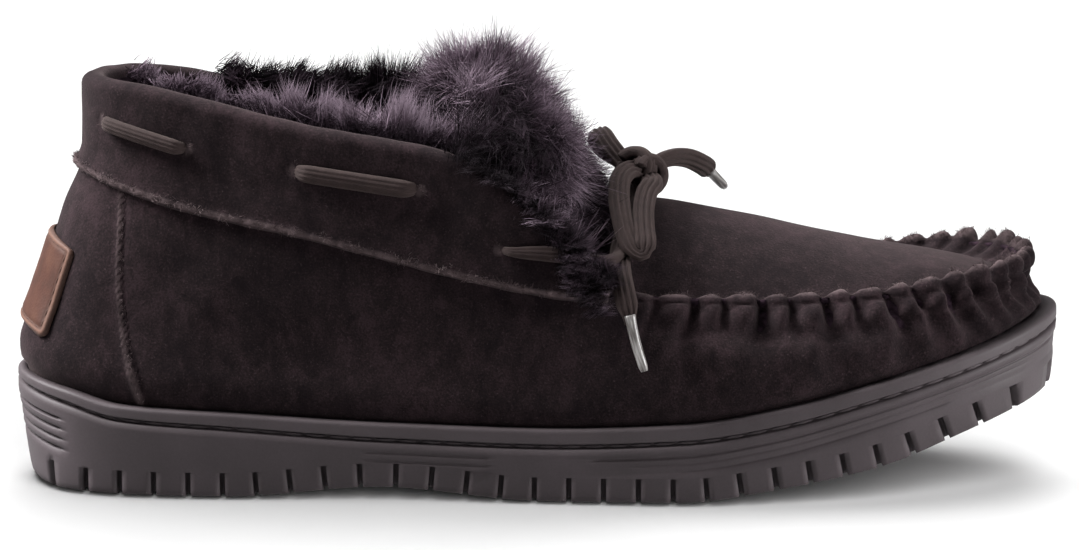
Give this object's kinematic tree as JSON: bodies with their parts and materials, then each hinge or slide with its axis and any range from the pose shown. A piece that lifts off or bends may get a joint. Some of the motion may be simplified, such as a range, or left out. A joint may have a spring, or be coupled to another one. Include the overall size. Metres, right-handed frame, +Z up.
{
  "type": "suede moccasin slipper",
  "caption": "Fur-lined suede moccasin slipper with a gathered toe seam, laced collar, fur tongue and moulded rubber cup sole; one right shoe, open at the collar for a foot.",
  "frame": {"origin": "on the floor, under the middle of the slipper's box without the bow", "axes": "+X from heel to toe, +Y towards the inner (big toe) side, +Z up"},
  "size_m": [0.3, 0.1083, 0.1259],
  "materials": {
    "outsole": "matt moulded",
    "suede": "brushed suede",
    "fur": "long sheepskin pile",
    "patch": "smooth worn leather",
    "lace": "woven cord",
    "tip": "clear film"
  },
  "bodies": {
    "root": {"outsole": "outsole", "insole": "fur", "upper": "suede", "collar_band": "suede", "heel_tab": "patch", "tongue": "fur", "lace_rear_outer": "lace", "lace_side_outer": "lace", "lace_front_outer": "lace", "lace_rear_inner": "lace", "lace_side_inner": "lace", "lace_front_inner": "lace", "bow_knot": "lace", "bow_loop_outer": "lace", "bow_loop_inner": "lace", "bow_end_outer": "lace", "bow_end_inner": "lace", "lace_tip_outer": "tip", "lace_tip_inner": "tip"}
  },
  "joints": []
}
